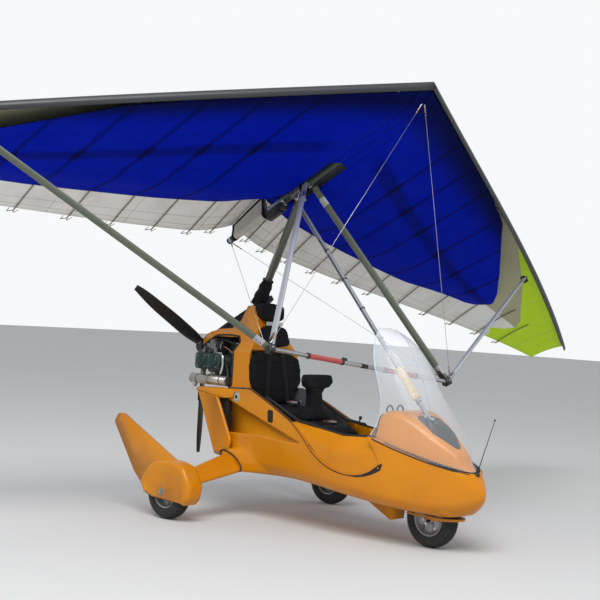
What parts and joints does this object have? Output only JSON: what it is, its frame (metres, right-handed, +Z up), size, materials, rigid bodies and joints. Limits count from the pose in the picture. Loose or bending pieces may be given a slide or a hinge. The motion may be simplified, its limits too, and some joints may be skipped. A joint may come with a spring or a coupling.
{
  "type": "microlight aircraft",
  "caption": "Weight-shift microlight aircraft: a wheeled pod with tandem seats and a pusher propeller, hung under a strut-braced delta wing that pitches and rolls on its mast.",
  "frame": {"origin": "on the ground, under the middle of the rear axle line", "axes": "+X forward along the pod, +Y to port, +Z up"},
  "size_m": [3.6, 8.6942, 3.1741],
  "materials": {
    "hull_gloss": "gloss",
    "screen_clear": "polished",
    "tyre_rubber": "matte",
    "rim_grey": "satin",
    "fork_steel": "satin",
    "seat_cloth": "woven",
    "trim_black": "matte",
    "mast_alloy": "satin",
    "strut_alloy": "satin",
    "engine_dark": "satin",
    "cylinder_alloy": "cast",
    "exhaust_steel": "brushed",
    "blade_black": "satin",
    "sail_cloth": "sailcloth",
    "pocket_cloth": "sailcloth",
    "grip_red": "foam",
    "pad_cream": "foam",
    "wire_steel": "bright"
  },
  "bodies": {
    "trike": {"hull_tub": "hull_gloss", "recess_panel_port": "hull_gloss", "recess_panel_starboard": "hull_gloss", "dash_fairing": "hull_gloss", "instrument_panel": "trim_black", "windscreen": "screen_clear", "front_strut": "strut_alloy", "strut_pad": "pad_cream", "seat_frame": "trim_black", "rear_seat": "seat_cloth", "front_seat": "seat_cloth", "rear_pylon": "hull_gloss", "headrest": "seat_cloth", "mast": "mast_alloy", "mast_cover": "seat_cloth", "engine_block": "engine_dark", "cylinders_port": "cylinder_alloy", "cylinders_starboard": "cylinder_alloy", "exhaust": "exhaust_steel", "radiator": "trim_black", "duct_port": "hull_gloss", "duct_starboard": "hull_gloss", "rear_leg_port": "hull_gloss", "rear_leg_starboard": "hull_gloss", "spat_port": "hull_gloss", "spat_starboard": "hull_gloss", "aerial": "trim_black"},
    "fork": {"front_fork": "fork_steel", "front_mudguard": "hull_gloss"},
    "front_wheel": {"tyre_front": "tyre_rubber", "rim_front": "rim_grey"},
    "rear_wheel_port": {"tyre_rear_port": "tyre_rubber", "rim_rear_port": "rim_grey"},
    "rear_wheel_starboard": {"tyre_rear_starboard": "tyre_rubber", "rim_rear_starboard": "rim_grey"},
    "propeller": {"prop_hub": "trim_black", "prop_blades": "blade_black"},
    "hang_block": {"hang_block": "strut_alloy"},
    "wing": {"keel": "strut_alloy", "sail_port": "sail_cloth", "sail_starboard": "sail_cloth", "base_bar": "strut_alloy", "downtube_port": "strut_alloy", "downtube_starboard": "strut_alloy", "wing_strut_port": "strut_alloy", "wing_strut_starboard": "strut_alloy", "bar_grips": "grip_red", "flying_wires": "wire_steel", "keel_pocket": "pocket_cloth"}
  },
  "joints": [
    {"name": "steering", "type": "hinge", "parent": "trike", "child": "fork", "pos_m": [1.74, 0, 0.4], "axis": [0, 0, 1], "range_deg": [-25, 25]},
    {"name": "front_wheel_spin", "type": "hinge", "parent": "fork", "child": "front_wheel", "pos_m": [1.72, 0, 0.197], "axis": [0, 1, 0], "continuous": true},
    {"name": "rear_wheel_port_spin", "type": "hinge", "parent": "trike", "child": "rear_wheel_port", "pos_m": [0, 0.868, 0.197], "axis": [0, 1, 0], "continuous": true},
    {"name": "rear_wheel_starboard_spin", "type": "hinge", "parent": "trike", "child": "rear_wheel_starboard", "pos_m": [0, -0.868, 0.197], "axis": [0, 1, 0], "continuous": true},
    {"name": "propeller_spin", "type": "hinge", "parent": "trike", "child": "propeller", "pos_m": [-0.675, 0, 1.231], "axis": [1, 0, 0], "continuous": true},
    {"name": "wing_pitch", "type": "hinge", "parent": "trike", "child": "hang_block", "pos_m": [0.295, 0, 2.399], "axis": [0.0529, 0.9986, 0], "range_deg": [-1, 16]},
    {"name": "wing_roll", "type": "hinge", "parent": "hang_block", "child": "wing", "pos_m": [0.26484, 0.0016, 2.45992], "axis": [0.8947, -0.0474, 0.4442], "range_deg": [-8, 22.5]}
  ]
}
